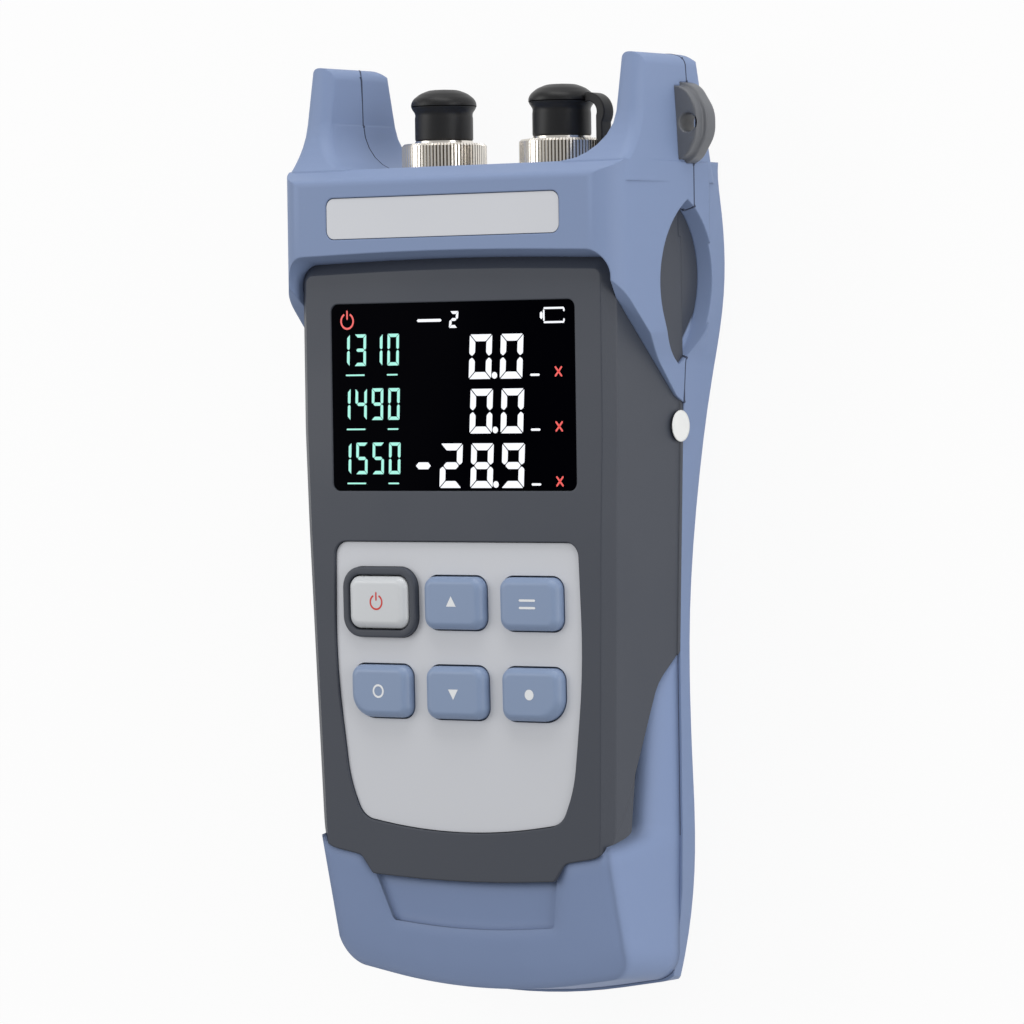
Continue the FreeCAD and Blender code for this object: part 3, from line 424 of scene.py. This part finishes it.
lens_left, lens_top = window_low.x / mm, window_high.y / mm
small_height, small_width, small_stroke, small_slant = 6.9, 3.1, 0.72, 0.03
small_pitch, small_row_pitch, small_drop, word_drop, word_stroke = 4.43, 11.8, 13.4, 15.4, 0.34
form = bmesh.new()
for row, figures in enumerate(("1310", "1490", "1550")):
    row_top = lens_top - small_row_pitch * row
    for place_in_row, figure in enumerate(figures):
        digit(form, figure, lens_left + 1.6 + small_pitch * place_in_row, row_top - small_drop,
              small_width, small_height, small_stroke, small_slant)
    bar(form, lens_left + 6.2, row_top - word_drop, 5.2, word_stroke)
    bar(form, lens_left + 16.2, row_top - word_drop, 3.0, word_stroke)
mint = lit("mint_segments", (0.36, 0.90, 0.76), 0.95)
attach(screen_marks("wavelength_figures", form, mint, screen_z), "housing")

big_height, big_width, big_stroke, big_slant = 9.6, 5.9, 1.5, 0.05
big_pitch, big_row_pitch, big_drop, dot_radius = 8.15, 11.7, 16.6, 0.72
form = bmesh.new()
for row, figures in enumerate((" 00", " 00", "289")):
    base = lens_top - big_drop - big_row_pitch * row
    for place_in_row, figure in enumerate(figures):
        if figure != " ":
            digit(form, figure, lens_left + 28.4 + big_pitch * place_in_row, base,
                  big_width, big_height, big_stroke, big_slant)
    dot = bmesh.ops.create_circle(form, cap_ends=True, segments=24, radius=dot_radius)
    bmesh.ops.translate(form, vec=(lens_left + 43.35, base + 0.75, 0.0), verts=dot["verts"])
    bar(form, lens_left + 53.9, base + 0.75, 2.6, 0.5)
bar(form, lens_left + 24.2, base + big_height / 2, 4.0, 1.5)
digit(form, "2", lens_left + 31.5, lens_top - 5.5, 2.2, 3.6, 0.62, 0.12)
bar(form, lens_left + 26.3, lens_top - 3.8, 6.6, 0.62)
white_light = lit("white_segments", (0.93, 0.95, 1.0), 1.0)
battery_middle, battery_drop, line_stroke = 59.0, 3.2, 0.42
for x, y, length, angle in ((0.0, 1.5, 5.4, 0.0), (0.0, -1.5, 5.4, 0.0), (-2.6, 0.0, 2.6, 90.0),
                            (2.6, 1.1, 0.8, 90.0), (2.6, -1.1, 0.8, 90.0)):
    bar(form, lens_left + battery_middle + x, lens_top - battery_drop + y, length, line_stroke,
        math.radians(angle))
bar(form, lens_left + battery_middle - 3.25, lens_top - battery_drop, 1.7, 0.7, math.radians(90.0))
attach(screen_marks("reading_figures", form, white_light, screen_z), "housing")


def power_symbol(form, x, y, radius, stroke):
    """A broken ring with a stem in its gap."""
    outer = bmesh.ops.create_circle(form, cap_ends=False, segments=40, radius=radius)["verts"]
    inner = bmesh.ops.create_circle(form, cap_ends=False, segments=40, radius=radius - stroke)["verts"]
    rims = list({e for v in outer + inner for e in v.link_edges})
    band = bmesh.ops.bridge_loops(form, edges=rims)["faces"]
    middles = {f: f.calc_center_median() for f in band}
    gap = [f for f, middle in middles.items() if middle.y > 0 and abs(middle.x) < radius * 0.42]
    bmesh.ops.delete(form, geom=gap, context="FACES")
    kept = [v for v in outer + inner if v.is_valid]
    bmesh.ops.translate(form, vec=(x, y, 0.0), verts=kept)
    bar(form, x, y + radius * 0.72, radius * 1.15, stroke * 0.95, math.radians(90.0))


form = bmesh.new()
power_symbol(form, lens_left + 4.2, lens_top - 3.6, 1.85, 0.42)
cross_drop, cross_length, cross_angle = 15.2, 2.9, 50.0
for row in range(3):
    for angle in (cross_angle, -cross_angle):
        bar(form, lens_left + 60.0, lens_top - cross_drop - big_row_pitch * row, cross_length, line_stroke,
            math.radians(angle))
red_light = lit("red_segments", (0.85, 0.075, 0.065), 1.0)
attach(screen_marks("red_marks", form, red_light, screen_z), "housing")

# ---- Silver plates --------------------------------------------------------------------
# Silver-printed polycarbonate overlays: the bare plate in the header, and the panel that
# frames the keys. Both are stuck into shallow recesses.

silver, shader = moulded("satin_silver_print", (0.600, 0.615, 0.655), 0.05, 5200.0, 0.46, 0.12,
                         rounding=0.15)
shader.inputs["Metallic"].default_value = 0.08
for node in ("header_plate", "keypad_panel"):
    plate = moulded_copy(node, "housing")
    plate.data.materials.append(silver)

# ---- Keys -----------------------------------------------------------------------------
# Six keys of a silicone mat stand through the panel: a white gloss power key in a grey
# ring, and five blue ones. Each carries a small printed symbol.

ring = moulded_copy("power_key_bezel", "housing", edge=0.3, segments=3)
ring.data.materials.append(grey_plastic)
key_blue, shader = moulded("blue_key_rubber", (0.225, 0.300, 0.455), 0.06, 4200.0, 0.44, 0.15)
key_white, shader = moulded("white_key_plastic", (0.60, 0.62, 0.645), 0.03, 4200.0, 0.30, 0.05)
print_white, shader = moulded("white_key_print", (0.80, 0.82, 0.84), 0.03, 5000.0, 0.5, 0.05)
print_red, shader = moulded("red_key_print", (0.62, 0.04, 0.03), 0.03, 5000.0, 0.5, 0.05)
key_tilt = math.radians(1.0)
print_lift = 0.03


def key_print(node, form, finish):
    """Lay a flat drawing in millimetres on the sloping top of a key, and ride with it."""
    low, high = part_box(node)
    middle = (low + high) / 2
    crest = max((v.co for v in nodes[node].data.vertices), key=lambda co: co.z)
    top_z = crest.z - (crest.y - middle.y) * math.tan(key_tilt)
    piece = screen_marks(node + "_print", form, finish, 0.0)
    slope = Matrix.Rotation(key_tilt, 4, "X")
    piece.data.transform(Matrix.Translation((middle.x, middle.y, top_z + print_lift * mm)) @ slope)
    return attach(piece, node)


for node in ("power_key", "up_key", "threshold_key", "reference_key", "down_key", "select_key"):
    cap = moulded_copy(node, node, edge=0.5, segments=3)
    cap.data.materials.append(key_white if node == "power_key" else key_blue)

form = bmesh.new()
power_symbol(form, 0.0, 0.0, 1.75, 0.40)
key_print("power_key", form, print_red)
mark_radius, mark_gap = 1.5, 0.8
for node, turned in (("up_key", 0.0), ("down_key", 180.0)):
    form = bmesh.new()
    made = bmesh.ops.create_circle(form, cap_ends=True, segments=3, radius=mark_radius)
    bmesh.ops.rotate(form, verts=made["verts"], matrix=Matrix.Rotation(math.radians(turned), 3, "Z"))
    key_print(node, form, print_white)
form = bmesh.new()
for y in (mark_gap, -mark_gap):
    bar(form, 0.0, y, 4.4, 0.5)
key_print("threshold_key", form, print_white)
form = bmesh.new()
outer = bmesh.ops.create_circle(form, cap_ends=False, segments=32, radius=mark_radius)["verts"]
inner = bmesh.ops.create_circle(form, cap_ends=False, segments=32, radius=0.7 * mark_radius)["verts"]
bmesh.ops.bridge_loops(form, edges=list({e for v in outer + inner for e in v.link_edges}))
key_print("reference_key", form, print_white)
form = bmesh.new()
bmesh.ops.create_circle(form, cap_ends=True, segments=32, radius=1.15)
key_print("select_key", form, print_white)

# ---- Optical ports --------------------------------------------------------------------
# Nickel-plated brass: threaded adapters in the end wall, each with a straight-knurled
# ring that turns on it.


def bright_nickel(name, color, roughness):
    """A plated metal with faint turning lines, and painted shade where a piece marks its grooves."""
    finish, tree, shader, output = material(name)
    shader.inputs["Metallic"].default_value = 1.0
    place = tree.nodes.new("ShaderNodeTexCoord")
    stretched = tree.nodes.new("ShaderNodeMapping")
    stretched.inputs["Scale"].default_value = (1.0, 0.15, 1.0)
    lines = tree.nodes.new("ShaderNodeTexNoise")
    lines.inputs["Scale"].default_value = 900.0
    lines.inputs["Detail"].default_value = 3.0
    spread = tree.nodes.new("ShaderNodeMapRange")
    spread.inputs["To Min"].default_value = roughness * 0.7
    spread.inputs["To Max"].default_value = roughness * 1.5
    tree.links.new(place.outputs["Object"], stretched.inputs["Vector"])
    tree.links.new(stretched.outputs["Vector"], lines.inputs["Vector"])
    tree.links.new(lines.outputs["Fac"], spread.inputs["Value"])
    tree.links.new(spread.outputs["Result"], shader.inputs["Roughness"])
    # The marked grooves get a darker brown-grey base colour: painted shade in the knurl's hollows.
    cut = tree.nodes.new("ShaderNodeAttribute")
    cut.attribute_name = "groove"
    groove_shade = tree.nodes.new("ShaderNodeMix")
    groove_shade.data_type = "RGBA"
    groove_shade.inputs["A"].default_value = (*color, 1.0)
    groove_shade.inputs["B"].default_value = (0.27, 0.245, 0.21, 1.0)
    tree.links.new(cut.outputs["Fac"], groove_shade.inputs["Factor"])
    tree.links.new(groove_shade.outputs["Result"], shader.inputs["Base Color"])
    return finish


def knurled_collar(side, low, high, bore):
    """A turned ring with straight knurling between two plain bevelled ends."""
    ridges, chamfer, depth = 76, 0.5 * mm, 0.34 * mm
    radius = (high.x - low.x) / 2
    plain = radius - chamfer
    form = bmesh.new()
    groove = form.verts.layers.float.new("groove")
    loops = []
    for y, r, cut in ((low.y, bore, 0.0), (low.y, plain, 0.0), (low.y + chamfer, radius, depth),
                      (high.y - chamfer, radius, depth), (high.y, plain, 0.0), (high.y, bore, 0.0)):
        made = bmesh.ops.create_circle(form, cap_ends=False, segments=4 * ridges, radius=r)["verts"]
        for step, corner in enumerate(made):
            # Groove corners carry the mark where the nickel material paints shade.
            deep = cut > 0 and step % 4 == 3
            corner[groove] = 1.0 if deep else 0.0
            corner.co *= 1.0 - (cut / r if deep else 0.0)
        bmesh.ops.rotate(form, verts=made, matrix=Matrix.Rotation(math.radians(90.0), 3, "X"))
        bmesh.ops.translate(form, verts=made, vec=(0.0, y, 0.0))
        loops.append(list({e for v in made for e in v.link_edges}))
    for near, far in zip(loops, loops[1:] + loops[:1]):
        bmesh.ops.bridge_loops(form, edges=near + far)
    bmesh.ops.recalc_face_normals(form, faces=form.faces)
    bmesh.ops.translate(form, verts=form.verts, vec=((low.x + high.x) / 2, 0.0, (low.z + high.z) / 2))
    mesh = bpy.data.meshes.new(side + "_knurled_collar")
    form.to_mesh(mesh)
    form.free()
    piece = bpy.data.objects.new(side + "_knurled_collar", mesh)
    scene.collection.objects.link(piece)
    return piece


nickel = bright_nickel("nickel_plate", (0.84, 0.80, 0.74), 0.20)
for side in ("left", "right"):
    barrel = moulded_copy(side + "_adapter", "housing")
    barrel.data.materials.append(nickel)
    low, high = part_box(side + "_knurled_nut")
    collar = knurled_collar(side, low, high, 6.45 * mm)
    collar.data.materials.append(nickel)
    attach(collar, side + "_nut")
    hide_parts(side + "_knurled_nut")

# ---- Dust caps and strap --------------------------------------------------------------
# Soft black rubber plugs with a mushroom head. The right one has a flat strap that bends
# down beside its port and moves with the cap.

black_rubber, shader = moulded("black_rubber", (0.011, 0.011, 0.012), 0.25, 2400.0, 0.42, 0.3)
shader.inputs["Specular IOR Level"].default_value = 0.3
for side in ("left", "right"):
    plug = moulded_copy(side + "_dust_cap", side + "_cap", edge=0.5, segments=3, sharp=10.0)
    plug.data.materials.append(black_rubber)
strap = moulded_copy("cap_tether", "right_cap")
strap.data.materials.append(black_rubber)

# ---- Lanyard lugs ---------------------------------------------------------------------
# Grey nylon loops let into the outside of the horns, each stepped round its hole.

lug_grey, shader = moulded("grey_nylon", (0.122, 0.128, 0.142), 0.10, 3000.0, 0.42, 0.3)
for side in ("left", "right"):
    loop = moulded_copy(side + "_strap_lug", "housing", edge=0.45, segments=3)
    loop.data.materials.append(lug_grey)

# ---- Back, fasteners and inside -------------------------------------------------------
# The ribbed battery door in the back, the four case screws in their wells, the small
# paper disc over the side seam, and the boards, cells and detectors inside.

door = moulded_copy("battery_door", "door")
door.data.materials.append(blue_rubber)
sticker_white, shader = moulded("white_paper", (0.86, 0.87, 0.86), 0.03, 6000.0, 0.6, 0.1)
steel = bright_nickel("zinc_plated_steel", (0.50, 0.50, 0.51), 0.35)
board_green, shader = moulded("green_solder_mask", (0.02, 0.14, 0.06), 0.15, 900.0, 0.35, 0.1)
jacket, shader = moulded("cell_jacket", (0.04, 0.04, 0.045), 0.10, 900.0, 0.30, 0.05)
silicone, shader = moulded("translucent_silicone", (0.42, 0.43, 0.44), 0.10, 1800.0, 0.55, 0.2)
frame_black, shader = moulded("black_frame", (0.018, 0.018, 0.020), 0.10, 2400.0, 0.45, 0.2)
finishes = {"side_sticker": sticker_white, "case_screws": steel, "main_board": board_green,
            "keypad_board": board_green, "battery_cells": jacket, "keypad_mat": silicone,
            "lcd_module": frame_black, "battery_contacts": nickel, "left_detector": steel,
            "right_detector": steel}
for node, finish in finishes.items():
    nodes[node].data.materials.clear()
    nodes[node].data.materials.append(finish)

low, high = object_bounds()
